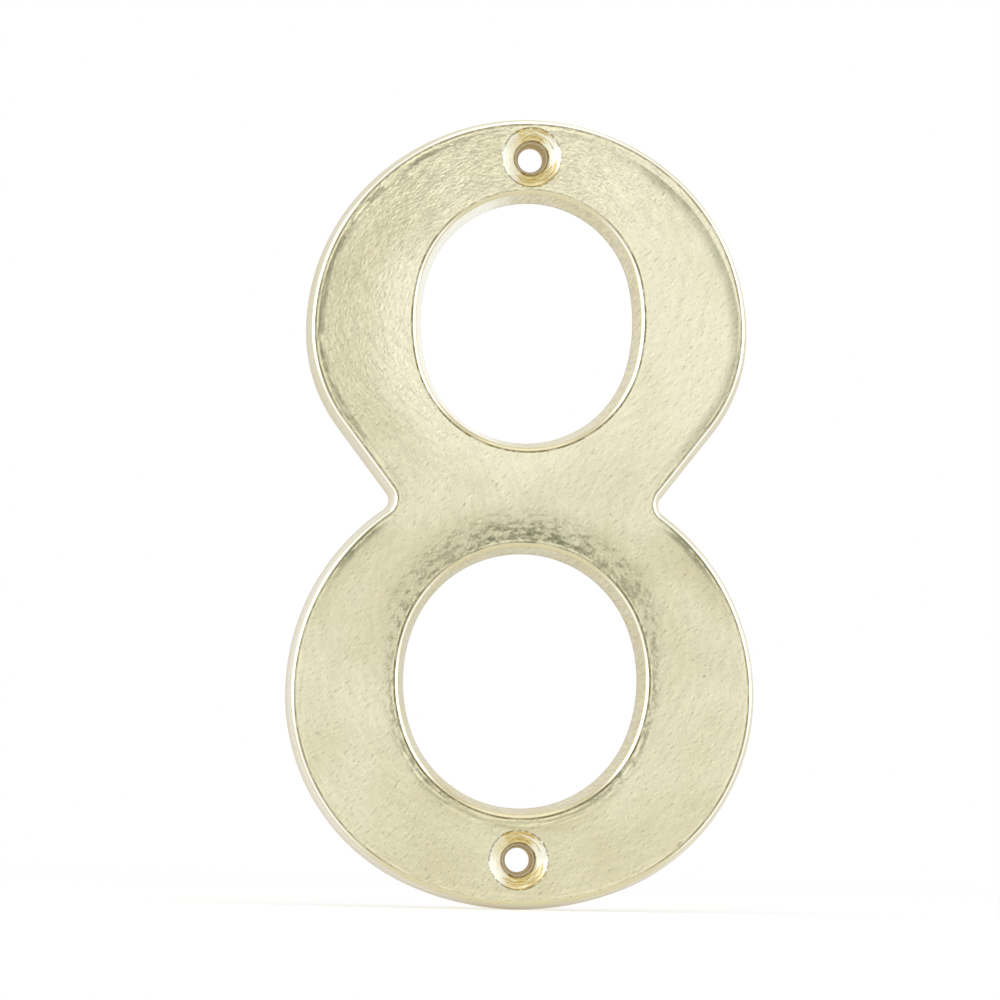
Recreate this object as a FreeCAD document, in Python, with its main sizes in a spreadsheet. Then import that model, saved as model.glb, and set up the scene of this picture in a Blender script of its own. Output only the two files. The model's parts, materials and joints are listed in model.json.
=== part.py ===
"""A cast brass door number, the figure 8, with two countersunk screw holes.

The figure stands upright in the XZ plane. Its back lies on y = 0 and its polished face looks along -Y.
The origin is on the back plane, halfway between the two screw holes. All sizes are in millimetres.
"""
import FreeCAD, Part
import math
import os
import re

import Sketcher

NODE = "door_number"

# The driving sizes. The outlines are measured on the face, before its edges are rounded.
SIZES = [
    ("thickness", 9.0, "from the back plane to the face"),
    ("top_rim", 1.05, "metal between the upper countersink and the edges of its band"),
    ("cross_band", 15.75, "metal between the two counters"),
    ("foot_band", 14.4, "metal below the lower counter, the screw hole in its middle"),
    ("upper_side_band", 16.65, "metal at either side of the upper counter"),
    ("lower_side_band", 17.1, "metal at either side of the lower counter"),
    ("upper_counter_round", 17.8, "radius of the upper counter's top and bottom"),
    ("upper_counter_stretch", 2.6, "centres of those arcs, above and below its middle"),
    ("upper_counter_bulge", 0.3, "its sides stand this far outside those arcs"),
    ("lower_counter_round", 19.5, "radius of the lower counter's top and bottom"),
    ("lower_counter_stretch", 2.0, "centres of those arcs, above and below its middle"),
    ("lower_counter_bulge", 0.35, "its sides stand this far outside those arcs"),
    ("shoulder_spread", 1.85, "centres of the shoulders, each side of the axis"),
    ("crown_rise", 0.8, "the flatter crown stands this far above the shoulders' circles"),
    ("flank_round", 25.0, "radius of the upper bowl below its widest place"),
    ("flank_lean", 37.5, "degrees from upright of the straight flanks above the waist"),
    ("waist_round", 2.6, "hollow corner where the two bowls meet"),
    ("hip_round", 35.5, "radius of the lower bowl above its widest place"),
    ("heel_spread", 4.25, "centres of the lower bowl's heels, each side of the axis"),
    ("foot_rise", 0.9, "the flatter foot stands this far below the heels' circles"),
    ("outer_draft", 5.0, "degrees, slope of the outer wall"),
    ("counter_draft", 6.8, "degrees, slope of the counters' walls"),
    ("arris_bevel", 0.5, "bevel round the face"),
    ("rim_wall", 3.5, "metal left round the hollow of the back, at the back plane"),
    ("face_wall", 3.4, "metal left behind the face"),
    ("recess_draft", 6.0, "degrees, slope of the hollow's walls"),
    ("boss_inset", 0.8, "the boss round each screw hole stops this far inside its band"),
    ("recess_corner", 2.4, "upright rounding where the bosses meet the hollow's walls"),
    ("recess_bevel", 0.8, "bevelled root between the hollow's walls and its floor"),
    ("sink_width", 9.6, "countersink, across its mouth"),
    ("sink_angle", 90.0, "degrees, the countersink's full angle"),
    ("throat_width", 5.3, "cast screw hole, across, where the countersink ends"),
    ("bore_width", 3.9, "drilled screw hole, across"),
    ("bore_length", 2.0, "length of the drilled part, at the back"),
    ("cutter_overrun", 1.0, "the hole's section runs this far past the face and the back"),
]

# The sizes that follow from them. Heights are above the origin.
DERIVED = [
    ("top_band", "sink_width + 2 * top_rim"),
    ("upper_counter_half", "upper_counter_round + upper_counter_stretch"),
    ("lower_counter_half", "lower_counter_round + lower_counter_stretch"),
    ("screw_spacing", "top_band / 2 + 2 * upper_counter_half + cross_band + 2 * lower_counter_half"
                      " + foot_band / 2"),
    ("hole_height", "screw_spacing / 2"),
    ("upper_counter_middle", "hole_height - top_band / 2 - upper_counter_half"),
    ("lower_counter_middle", "-hole_height + foot_band / 2 + lower_counter_half"),
    ("upper_counter_side", "upper_counter_round + upper_counter_bulge / 2"
                           " + upper_counter_stretch ^ 2 / (2 * upper_counter_bulge)"),
    ("lower_counter_side", "lower_counter_round + lower_counter_bulge / 2"
                           " + lower_counter_stretch ^ 2 / (2 * lower_counter_bulge)"),
    ("upper_half_width", "upper_counter_round + upper_counter_bulge + upper_side_band"),
    ("lower_half_width", "lower_counter_round + lower_counter_bulge + lower_side_band"),
    ("shoulder_round", "upper_half_width - shoulder_spread"),
    ("flank_spread", "upper_half_width - flank_round"),
    ("hip_spread", "lower_half_width - hip_round"),
    ("heel_round", "lower_half_width - heel_spread"),
    ("upper_middle", "hole_height + top_band / 2 - crown_rise - shoulder_round"),
    ("lower_middle", "-hole_height - foot_band / 2 + foot_rise + heel_round"),
    ("crown_round", "shoulder_round + crown_rise / 2 + shoulder_spread ^ 2 / (2 * crown_rise)"),
    ("foot_round", "heel_round + foot_rise / 2 + heel_spread ^ 2 / (2 * foot_rise)"),
    ("crown_centre", "hole_height + top_band / 2 - crown_round"),
    ("foot_centre", "-hole_height - foot_band / 2 + foot_round"),
    ("outer_spread", "thickness * tan(outer_draft * 1 deg)"),
    ("counter_shrink", "thickness * tan(counter_draft * 1 deg)"),
    ("recess_depth", "thickness - face_wall"),
    ("sink_slope", "tan(sink_angle / 2 * 1 deg)"),
    ("sink_depth", "(sink_width - throat_width) / 2 / sink_slope"),
]

ALIASES = {row[0] for row in SIZES + DERIVED}

# Two places closer than this are the same place, and faces that turn less than this run on smoothly.
SAME_PLACE = 1e-3
SMOOTH_TURN = math.radians(5)

# How a sketch numbers the points of an edge, and its own two axes, whose crossing is its origin.
START, END, CENTRE = range(1, 4)
LEVEL_AXIS, UPRIGHT_AXIS = range(-1, -3, -1)
ORIGIN = (LEVEL_AXIS, START)

doc = FreeCAD.newDocument("DoorNumber")


def make_sheet():
    """The spreadsheet: driving sizes first, then the sizes that follow from them."""
    cells = doc.addObject("Spreadsheet::Sheet", "Sizes")
    rows = SIZES + [(alias, "=" + formula, "") for alias, formula in DERIVED]
    for number, (alias, value, note) in enumerate(rows, start=1):
        cells.set(f"A{number}", alias)
        cells.set(f"B{number}", str(value))
        cells.set(f"C{number}", note)
        cells.setAlias(f"B{number}", alias)
    doc.recompute()
    return cells


sheet = make_sheet()


def linked(formula):
    """A formula of sizes, written so that another object can read it from the sheet."""
    return re.sub(r"[a-z_]+", lambda word: "Sizes." * (word[0] in ALIASES) + word[0], formula)


def value_of(formula):
    """The number that a formula of sizes gives now."""
    result = sheet.evalExpression(linked(formula))
    return float(getattr(result, "Value", result))


def bind(owner, path, formula):
    """Drive one property, or one dimension of a sketch, from the sheet."""
    owner.setExpression(path, linked(formula))


def origin_plane(body, role):
    """One of the body's own three planes."""
    return next(item for item in body.Origin.OriginFeatures if item.Role == role)


def face_sketch(body, name, height="0"):
    """A sketch parallel to the face, at a height above the back plane."""
    sketch = body.newObject("Sketcher::SketchObject", name)
    sketch.AttachmentSupport = [(origin_plane(body, "XZ_Plane"), "")]
    sketch.MapMode = "FlatFace"
    bind(sketch, "AttachmentOffset.Base.z", height)
    return sketch


class Outline:
    """A closed outline of tangent arcs and lines in one sketch, with its dimensions in the sheet."""

    def __init__(self, sketch):
        self.sketch = sketch

    def rule(self, kind, *where):
        """A constraint with no size."""
        self.sketch.addConstraint(Sketcher.Constraint(kind, *where))

    def dimension(self, kind, *where, formula):
        """A constraint whose size is a formula of the sheet."""
        rule = Sketcher.Constraint(kind, *where, value_of(formula))
        number = self.sketch.addConstraint(rule)
        bind(self.sketch, f"Constraints[{number}]", formula)

    def arc(self, centre, radius, start, end):
        """An arc, counter-clockwise between two directions in degrees."""
        middle = FreeCAD.Vector(centre[0], centre[1], 0)
        circle = Part.Circle(middle, FreeCAD.Vector(0, 0, 1), radius)
        curve = Part.ArcOfCircle(circle, math.radians(start), math.radians(end))
        return self.sketch.addGeometry(curve)

    def mirrored_arc(self, centre, radius, start, end):
        """The same arc on the other side of the upright axis. Its start and end change places."""
        return self.arc((-centre[0], centre[1]), radius, 180 - end, 180 - start)

    def line(self, start, end):
        """A straight edge between two points."""
        first, last = (FreeCAD.Vector(*point, 0) for point in (start, end))
        return self.sketch.addGeometry(Part.LineSegment(first, last))

    def join(self, first, first_end, second, second_end):
        """Two edges meet at their ends and run on smoothly."""
        self.rule("Tangent", first, first_end, second, second_end)


def polar(angle):
    """The unit vector in a direction given in degrees."""
    return math.cos(math.radians(angle)), math.sin(math.radians(angle))


def along(point, direction, distance):
    """The point at a distance from another in a direction."""
    return point[0] + distance * direction[0], point[1] + distance * direction[1]


def direction_of(start, end):
    """The direction from one point to another, in degrees."""
    return math.degrees(math.atan2(end[1] - start[1], end[0] - start[0]))


def waist_centre(flank, hip, lean):
    """The centre of the round that touches the straight flank above and the hip's circle below."""
    waist_round = value_of("waist_round")
    foot = along(flank, polar(-lean), value_of("flank_round") + waist_round)
    down = polar(-90 - lean)
    reach = value_of("hip_round") + waist_round
    gap = (foot[0] - hip[0], foot[1] - hip[1])
    half = gap[0] * down[0] + gap[1] * down[1]
    rest = gap[0] ** 2 + gap[1] ** 2 - reach ** 2
    return along(foot, down, -half - math.sqrt(half ** 2 - rest))


def draw_figure(sketch, grow):
    """The outside of the figure, made larger all round by the formula grow."""
    outline = Outline(sketch)
    growth = value_of(grow)
    upper, lower = value_of("upper_middle"), value_of("lower_middle")
    crown, foot = (0, value_of("crown_centre")), (0, value_of("foot_centre"))
    centres = {
        "shoulder": (value_of("shoulder_spread"), upper),
        "flank": (value_of("flank_spread"), upper),
        "hip": (value_of("hip_spread"), lower),
        "heel": (value_of("heel_spread"), lower),
    }
    lean = value_of("flank_lean")
    centres["waist"] = waist_centre(centres["flank"], centres["hip"], lean)
    turns = {
        "shoulder": (0, direction_of(crown, centres["shoulder"])),
        "flank": (-lean, 0),
        "waist": (180 - lean, 180 + direction_of(centres["hip"], centres["waist"])),
        "hip": (0, direction_of(centres["hip"], centres["waist"])),
        "heel": (direction_of(foot, centres["heel"]), 0),
    }
    radii = {name: f"{name}_round + ({grow})" for name in turns}
    radii["waist"] = f"waist_round - ({grow})"
    flank_end = along(centres["flank"], polar(-lean), value_of(radii["flank"]))
    waist_end = along(centres["waist"], polar(180 - lean), value_of(radii["waist"]))

    crown_turn, heel_turn = turns["shoulder"][1], turns["heel"][0]
    crown_arc = outline.arc(crown, value_of("crown_round") + growth, crown_turn, 180 - crown_turn)
    foot_arc = outline.arc(foot, value_of("foot_round") + growth, -180 - heel_turn, heel_turn)
    sides = []
    for arc, side, low, high in ((outline.arc, 1, START, END), (outline.mirrored_arc, -1, END, START)):
        edges = {name: arc(centres[name], value_of(radii[name]), *turns[name]) for name in turns}
        edges["line"] = outline.line(*((side * x, z) for x, z in (flank_end, waist_end)))
        outline.join(edges["shoulder"], high, crown_arc, low)
        outline.join(edges["shoulder"], low, edges["flank"], high)
        outline.join(edges["flank"], low, edges["line"], START)
        outline.join(edges["line"], END, edges["waist"], low)
        outline.join(edges["waist"], high, edges["hip"], high)
        outline.join(edges["hip"], low, edges["heel"], high)
        outline.join(edges["heel"], low, foot_arc, high)
        sides.append(edges)

    right, left = sides
    for name in turns:
        outline.dimension("Radius", right[name], formula=radii[name])
        outline.rule("Equal", right[name], left[name])
    for name, height in (("shoulder", "upper_middle"), ("flank", "upper_middle"),
                         ("hip", "lower_middle"), ("heel", "lower_middle")):
        outline.dimension("DistanceY", *ORIGIN, right[name], CENTRE, formula=height)
        outline.rule("Horizontal", right[name], CENTRE, left[name], CENTRE)
    for name in ("shoulder", "heel"):
        outline.dimension("DistanceX", *ORIGIN, right[name], CENTRE, formula=name + "_spread")
    for edge, height in ((crown_arc, "crown_centre"), (foot_arc, "foot_centre")):
        outline.dimension("DistanceY", *ORIGIN, edge, CENTRE, formula=height)
        outline.rule("PointOnObject", edge, CENTRE, UPRIGHT_AXIS)
    reach = f"({radii['flank']}) * cos(flank_lean * 1 deg)"
    outline.dimension("DistanceX", right["flank"], CENTRE, right["flank"], START, formula=reach)
    outline.dimension("DistanceX", left["flank"], END, left["flank"], CENTRE, formula=reach)


def draw_counter(sketch, name, grow):
    """One of the two openings, made larger all round by the formula grow."""
    outline = Outline(sketch)
    growth = value_of(grow)
    middle = value_of(name + "_middle")
    stretch, bulge = value_of(name + "_stretch"), value_of(name + "_bulge")
    cap_round = value_of(name + "_round")
    side_round = cap_round + bulge / 2 + stretch ** 2 / (2 * bulge)
    side = (cap_round + bulge - side_round, middle)
    top, bottom = (0, middle + stretch), (0, middle - stretch)
    turn = direction_of(side, top)

    top_arc = outline.arc(top, cap_round + growth, turn, 180 - turn)
    bottom_arc = outline.arc(bottom, cap_round + growth, 180 + turn, 360 - turn)
    right = outline.arc(side, side_round + growth, -turn, turn)
    left = outline.mirrored_arc(side, side_round + growth, -turn, turn)

    outline.join(right, END, top_arc, START)
    outline.join(top_arc, END, left, START)
    outline.join(left, END, bottom_arc, START)
    outline.join(bottom_arc, END, right, START)
    outline.dimension("Radius", top_arc, formula=f"{name}_round + ({grow})")
    outline.dimension("DistanceY", *ORIGIN, top_arc, CENTRE, formula=f"{name}_middle + {name}_stretch")
    outline.dimension("DistanceY", bottom_arc, CENTRE, top_arc, CENTRE, formula=f"2 * {name}_stretch")
    outline.dimension("Radius", right, formula=f"{name}_side + ({grow})")
    outline.rule("Equal", top_arc, bottom_arc)
    outline.rule("Equal", right, left)
    for edge in (top_arc, bottom_arc):
        outline.rule("PointOnObject", edge, CENTRE, UPRIGHT_AXIS)


def add_feature(body, kind, name, profile, length=None, draft=None, backward=False):
    """A feature made from a sketch, with its length and its draft from the sheet."""
    feature = body.newObject("PartDesign::" + kind, name)
    feature.Profile = profile
    feature.Reversed = backward
    if length:
        bind(feature, "Length", length)
    if draft:
        bind(feature, "TaperAngle", draft)
    profile.Visibility = False
    doc.recompute()
    return feature


def turns(shape, edge):
    """Whether the two faces beside an edge meet there at an angle."""
    faces = shape.ancestorsOfType(edge, Part.Face)
    if len(faces) < 2:
        return False
    middle = edge.valueAt((edge.FirstParameter + edge.LastParameter) / 2)
    first, second = (face.normalAt(*face.Surface.parameter(middle)) for face in faces)
    return first.getAngle(second) > SMOOTH_TURN


def sharp_edges(feature, front, back):
    """The names of a feature's sharp edges that reach exactly from one depth to another."""
    names = []
    for number, edge in enumerate(feature.Shape.Edges, start=1):
        box = edge.BoundBox
        fits = abs(box.YMin - front) < SAME_PLACE and abs(box.YMax - back) < SAME_PLACE
        if fits and turns(feature.Shape, edge):
            names.append(f"Edge{number}")
    return names


def dress(body, kind, name, feature, edges, path, formula):
    """A fillet or a chamfer of the named edges."""
    dressing = body.newObject("PartDesign::" + kind, name)
    dressing.Base = (feature, edges)
    bind(dressing, path, formula)
    doc.recompute()
    return dressing


def add_blank(body):
    """The drafted figure with its two counters, bevelled round its face."""
    outside = face_sketch(body, "FigureOutline", "thickness")
    draw_figure(outside, "0")
    solid = add_feature(body, "Pad", "Figure", outside, "thickness", "outer_draft", backward=True)
    for name, counter in (("Upper", "upper_counter"), ("Lower", "lower_counter")):
        opening = face_sketch(body, name + "CounterOutline", "thickness")
        draw_counter(opening, counter, "0")
        solid = add_feature(body, "Pocket", name + "Counter", opening, "thickness", "-counter_draft")
    face = -value_of("thickness")
    return dress(body, "Chamfer", "Arris", solid, sharp_edges(solid, face, face), "Size", "arris_bevel")


def add_boss(body, name, height, band):
    """A solid boss at one screw hole, from the back plane to the floor of the hollow."""
    width = f"{band} - 2 * boss_inset"
    circle = face_sketch(body, name + "BossOutline")
    outline = Outline(circle)
    middle = FreeCAD.Vector(0, value_of(height), 0)
    edge = circle.addGeometry(Part.Circle(middle, FreeCAD.Vector(0, 0, 1), value_of(width) / 2))
    outline.rule("PointOnObject", edge, CENTRE, UPRIGHT_AXIS)
    outline.dimension("DistanceY", *ORIGIN, edge, CENTRE, formula=height)
    outline.dimension("Diameter", edge, formula=width)
    return add_feature(body, "Pad", name + "Boss", circle, "recess_depth", "recess_draft")


def add_hollow(body):
    """The hollow of the back, which follows the figure and leaves a boss round each screw hole."""
    hollow = face_sketch(body, "HollowOutline")
    draw_figure(hollow, "outer_spread - rim_wall")
    draw_counter(hollow, "upper_counter", "rim_wall - counter_shrink")
    draw_counter(hollow, "lower_counter", "rim_wall - counter_shrink")
    add_feature(body, "Pocket", "Hollow", hollow, "recess_depth", "-recess_draft", backward=True)
    add_boss(body, "Upper", "hole_height", "top_band")
    bosses = add_boss(body, "Lower", "-hole_height", "foot_band")
    floor = -value_of("recess_depth")
    uprights = sharp_edges(bosses, floor, 0)
    corners = dress(body, "Fillet", "HollowCorners", bosses, uprights, "Radius", "recess_corner")
    level = sharp_edges(corners, floor, floor)
    return dress(body, "Chamfer", "HollowRoot", corners, level, "Size", "recess_bevel")


def add_screw_holes(body):
    """The two screw holes: a machined countersink, a cast throat that narrows and a drilled end."""
    section = body.newObject("Sketcher::SketchObject", "ScrewHoleSection")
    section.AttachmentSupport = [(origin_plane(body, "YZ_Plane"), "")]
    section.MapMode = "FlatFace"
    bind(section, "AttachmentOffset.Base.y", "hole_height")
    corners = [
        ("-thickness - cutter_overrun", "0"),
        ("-thickness - cutter_overrun", "sink_width / 2 + cutter_overrun * sink_slope"),
        ("-thickness + sink_depth", "throat_width / 2"),
        ("-bore_length", "bore_width / 2"),
        ("cutter_overrun", "bore_width / 2"),
        ("cutter_overrun", "0"),
    ]
    outline = Outline(section)
    places = [(value_of(depth), value_of(radius)) for depth, radius in corners]
    sides = [outline.line(*ends) for ends in zip(places, places[1:] + places[:1])]
    for side, following in zip(sides, sides[1:] + sides[:1]):
        outline.rule("Coincident", side, END, following, START)
    for side, (depth, radius) in zip(sides, corners):
        outline.dimension("DistanceX", *ORIGIN, side, START, formula=depth)
        if radius == "0":
            outline.rule("PointOnObject", side, START, LEVEL_AXIS)
        else:
            outline.dimension("DistanceY", *ORIGIN, side, START, formula=radius)
    hole = body.newObject("PartDesign::Groove", "UpperScrewHole")
    hole.Profile = section
    hole.ReferenceAxis = (section, ["H_Axis"])
    hole.Angle = 360
    doc.recompute()
    pair = body.newObject("PartDesign::Mirrored", "LowerScrewHole")
    pair.Originals = [hole]
    pair.MirrorPlane = (origin_plane(body, "XY_Plane"), [""])
    body.Tip = pair
    doc.recompute()
    return pair


def faults(steps):
    """What is wrong with the document, in words. Nothing, if all is well."""
    found = []
    for item in doc.Objects:
        if {"Invalid", "Error"} & set(item.State):
            found.append(f"{item.Label} is {item.State}")
        if item.TypeId == "Sketcher::SketchObject" and not item.FullyConstrained:
            found.append(f"{item.Label} isn't fully constrained")
    shapes = [step.Shape for step in steps]
    if any(shape.isNull() or not shape.isValid() or len(shape.Solids) != 1 for shape in shapes):
        found.append("the body isn't one valid solid")
    elif any(after.Volume >= before.Volume for before, after in zip(shapes, shapes[1:])):
        found.append("a cut removed nothing")
    return found


def main():
    """Build the number, check it and write its solid."""
    body = doc.addObject("PartDesign::Body", "DoorNumber")
    body.Label = NODE
    steps = [add_blank(body), add_hollow(body), add_screw_holes(body)]
    problems = faults(steps)
    if problems:
        raise RuntimeError("; ".join(problems))
    os.makedirs("parts", exist_ok=True)
    body.Shape.exportStep(f"parts/{body.Label}.step")
    box = body.Shape.BoundBox
    print(f"{body.Label}: {body.Shape.Volume:.1f} mm3, about {box.XLength:.1f} x {box.YLength:.1f} "
          f"x {box.ZLength:.1f} mm, {len(body.Shape.Faces)} faces")


main()
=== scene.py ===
"""The looks of a polished brass door number, the figure 8, with two countersunk screw holes.

The number stands upright: +Z up the figure, -Y out of its polished face. Lengths are in metres.
The casting is one closed mesh. Its outlines are arcs and short lines, which are sampled once, and
every wall, arris and root is a strip between two offsets of such an outline. A Geometry Nodes tree
then gives the polished face its slight waviness and the hollow back its cast skin.
"""

import json
import math

import bmesh
import bpy
import numpy as np
from bpy.props import FloatProperty, FloatVectorProperty, IntProperty, PointerProperty
from mathutils import Matrix, Vector
from mathutils.geometry import delaunay_2d_cdt


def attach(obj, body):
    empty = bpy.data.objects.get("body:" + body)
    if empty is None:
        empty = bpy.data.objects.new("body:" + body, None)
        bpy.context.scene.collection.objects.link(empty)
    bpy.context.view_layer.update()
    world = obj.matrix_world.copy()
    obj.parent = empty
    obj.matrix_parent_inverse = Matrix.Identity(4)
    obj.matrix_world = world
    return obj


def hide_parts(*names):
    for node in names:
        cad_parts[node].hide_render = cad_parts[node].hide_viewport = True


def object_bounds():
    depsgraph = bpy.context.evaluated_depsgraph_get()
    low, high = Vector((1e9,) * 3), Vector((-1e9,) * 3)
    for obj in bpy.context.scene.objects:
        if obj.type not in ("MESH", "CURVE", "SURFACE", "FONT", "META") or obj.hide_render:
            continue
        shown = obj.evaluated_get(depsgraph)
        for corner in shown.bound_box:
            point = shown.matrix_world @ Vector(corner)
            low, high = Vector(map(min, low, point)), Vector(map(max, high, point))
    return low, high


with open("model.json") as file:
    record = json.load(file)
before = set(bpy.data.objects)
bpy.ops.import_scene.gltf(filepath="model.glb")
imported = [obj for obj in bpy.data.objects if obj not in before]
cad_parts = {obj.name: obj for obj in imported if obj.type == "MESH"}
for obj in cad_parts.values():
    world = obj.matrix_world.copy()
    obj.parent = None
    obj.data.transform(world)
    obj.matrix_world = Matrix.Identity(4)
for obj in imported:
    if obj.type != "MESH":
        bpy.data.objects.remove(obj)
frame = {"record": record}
CAD_LOW, CAD_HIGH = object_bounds()

bl_info = {
    "name": "Brass Door Number",
    "version": (1, 0, 0),
    "blender": (4, 5, 0),
    "location": "View3D > Sidebar > Door Number",
    "description": "Makes a polished cast brass figure 8 for a door, with its stage",
    "category": "Add Mesh",
}

MM = 0.001
NODE = "door_number"
MOUNTS = {mount["name"]: mount for mount in frame["record"]["mounts"]}
SCREW_HOLES = MOUNTS["screw_holes"]["dims"]


def shade(red, green, blue):
    """A colour read off a screen, 0 to 255 a channel, as the light that it stands for."""
    def light(channel):
        value = channel / 255
        return value / 12.92 if value <= 0.04045 else ((value + 0.055) / 1.055) ** 2.4
    return light(red), light(green), light(blue)


def length(name, value, description):
    """A size in metres that a user can change."""
    return FloatProperty(name=name, description=description, default=value, unit="LENGTH", precision=5)


def degrees(name, value, description):
    """An angle, given in degrees, that a user can change."""
    return FloatProperty(name=name, description=description, default=math.radians(value), unit="ROTATION")


def level(name, value, description):
    """A plain number that a user can change."""
    return FloatProperty(name=name, description=description, default=value, min=0, subtype="UNSIGNED")


def colour(name, value, description):
    """A colour that a user can change."""
    return FloatVectorProperty(name=name, description=description, default=value, subtype="COLOR",
                               size=3, min=0, max=1)


class FigureSizes(bpy.types.PropertyGroup):
    """The outline of the figure on its face, and the section of its edges."""

    thickness: length("Thickness", CAD_HIGH.y - CAD_LOW.y, "From the back plane to the face")
    hole_spacing: length("Hole Spacing", SCREW_HOLES["spacing_y_mm"] * MM, "Between the two screw holes")
    bore_radius: length("Bore Radius", SCREW_HOLES["hole_r_mm"] * MM, "Of the drilled end of a screw hole")
    sink_radius: length("Countersink Radius", 4.8 * MM, "Of the countersink's mouth")
    throat_radius: length("Throat Radius", 2.65 * MM, "Where the countersink ends")
    bore_length: length("Bore Length", 2 * MM, "Of the drilled end of a screw hole")
    top_rim: length("Top Rim", 1.05 * MM, "Metal between the upper countersink and its band's edges")
    foot_band: length("Foot Band", 14.4 * MM, "Metal below the lower counter")
    upper_side_band: length("Upper Side Band", 16.65 * MM, "Metal beside the upper counter")
    lower_side_band: length("Lower Side Band", 17.1 * MM, "Metal beside the lower counter")
    upper_round: length("Upper Counter Round", 17.8 * MM, "Radius of its top and bottom")
    upper_stretch: length("Upper Counter Stretch", 2.6 * MM, "Centres of those arcs from its middle")
    upper_bulge: length("Upper Counter Bulge", 0.3 * MM, "Its sides stand this far outside those arcs")
    lower_round: length("Lower Counter Round", 19.5 * MM, "Radius of its top and bottom")
    lower_stretch: length("Lower Counter Stretch", 2 * MM, "Centres of those arcs from its middle")
    lower_bulge: length("Lower Counter Bulge", 0.35 * MM, "Its sides stand this far outside those arcs")
    shoulder_spread: length("Shoulder Spread", 1.85 * MM, "Centres of the shoulders from the axis")
    crown_rise: length("Crown Rise", 0.8 * MM, "The crown above the shoulders' circles")
    flank_round: length("Flank Round", 25 * MM, "Radius of the upper bowl below its widest place")
    flank_lean: degrees("Flank Lean", 37.5, "Of the straight flanks, from upright")
    waist_round: length("Waist Round", 2.6 * MM, "Hollow corner where the two bowls meet")
    hip_round: length("Hip Round", 35.5 * MM, "Radius of the lower bowl above its widest place")
    heel_spread: length("Heel Spread", 4.25 * MM, "Centres of the heels from the axis")
    foot_rise: length("Foot Rise", 0.9 * MM, "The foot below the heels' circles")
    arris: length("Arris", 0.5 * MM, "Width and depth of the bevel round the face")
    outer_draft: degrees("Outer Draft", 5, "Slope of the outer wall")
    counter_draft: degrees("Counter Draft", 6.8, "Slope of the counters' walls")
    rim_wall: length("Rim Wall", 3.5 * MM, "Metal left round the hollow, at the back plane")
    face_wall: length("Face Wall", 3.4 * MM, "Metal left behind the face")
    recess_draft: degrees("Recess Draft", 6, "Slope of the hollow's walls")
    recess_corner: length("Recess Corner", 2.4 * MM, "Upright rounding beside the bosses")
    recess_root: length("Recess Root", 0.8 * MM, "Rounding at the floor of the hollow")
    boss_inset: length("Boss Inset", 0.8 * MM, "A boss stops this far inside its band")
    soft_edge: length("Soft Edge", 0.2 * MM, "Rounding of the back's edges and the countersinks' mouths")


class SurfaceSizes(bpy.types.PropertyGroup):
    """How far the surfaces of the casting stray from true."""

    wave_height: length("Wave Height", 0.03 * MM, "Of the polished face, at most")
    wave_length: length("Wave Length", 9 * MM, "Of the polished face")
    roll_depth: length("Roll Depth", 0.05 * MM, "How far polishing has rolled the face off at its edges")
    roll_width: length("Roll Width", 1.6 * MM, "How far in from its edges")
    skin_height: length("Skin Height", 0.12 * MM, "Of the sand skin in the hollow")
    skin_grain: length("Skin Grain", 1.6 * MM, "Of the sand skin in the hollow")
    seed: IntProperty(name="Seed", description="Which waves and grains", default=8, min=0,
                      subtype="UNSIGNED")


class BrassColours(bpy.types.PropertyGroup):
    """The colours of the brass, by how it was finished."""

    polish: colour("Polish", shade(238, 233, 204), "The polished face")
    deep: colour("Deep Polish", shade(210, 204, 168), "Its deeper places")
    # Painted dark reflection, in bands beside the edges of the face.
    dark_reflection: colour("Smoke", shade(146, 144, 117), "Smoky bands beside the edges of the face")
    # On the face and its arris, the next two are painted reflection: a light line and a thin dark line by
    # the edge.
    cream: colour("Cream", shade(250, 244, 206), "The light line inside the brown one")
    edge_line: colour("Edge Line", shade(112, 98, 58), "The thin line inside the arris")
    # Painted highlight: on the arris, on the upper counter's left wall and in the countersinks.
    bright: colour("Bright Metal", shade(252, 251, 240), "The bevel of the face, and what shines beside it")
    soft_arris: colour("Soft Arris", shade(219, 211, 175), "That bevel where it doesn't shine")
    linished: colour("Linished Wall", shade(224, 215, 180), "The counters' walls")
    shadowed: colour("Shadowed Wall", shade(198, 189, 145), "The counters' walls where they face down")
    pale: colour("Pale Wall", shade(229, 223, 206), "The outer wall of the lower bowl")
    soft_wall: colour("Soft Wall", shade(214, 206, 178), "The outer wall of the upper bowl")
    gilt: colour("Gilt Wall", shade(204, 190, 144), "The outer wall towards the back")
    turned: colour("Turned Gold", shade(222, 196, 118), "The countersinks")
    burnt: colour("Burnt Gold", shade(168, 134, 66), "Darker cuts in the countersinks")
    throat: colour("Throat", shade(204, 178, 100), "The cast screw holes")
    ground: colour("Ground Back", shade(214, 200, 150), "The ground rim of the back")
    skin: colour("Cast Skin", shade(172, 152, 98), "The hollow of the back")


class StageSizes(bpy.types.PropertyGroup):
    """The floor, the lamps and the camera."""

    distance: length("Camera Distance", 1.38, "From the camera to the face")
    camera_left: degrees("Camera Left", 2.45, "How far left of square the camera stands")
    camera_low: degrees("Camera Low", 1.97, "How far below square the camera stands")
    roll: degrees("Roll", 1.09, "How far the figure leans right in the picture")
    view_width: length("View Width", 159.8 * MM, "What the picture spans at the face")
    aim_left: length("Aim Left", 4.09 * MM, "The picture's middle, left of the figure's")
    aim_up: length("Aim Up", 1.23 * MM, "The picture's middle, above the figure's")
    ambient: level("Ambient", 0.55, "Light from all round on what isn't a mirror")
    lamp: level("Lamps", 1.0, "Strength of the lamps")
    glow: level("Floor Glow", 0.41, "Light that the floor gives of itself to the camera")
    floor_solid: length("Solid Floor", 0.15, "The floor starts to fade this far out")
    floor_end: length("Floor End", 0.7, "The floor has faded away this far out")


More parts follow.
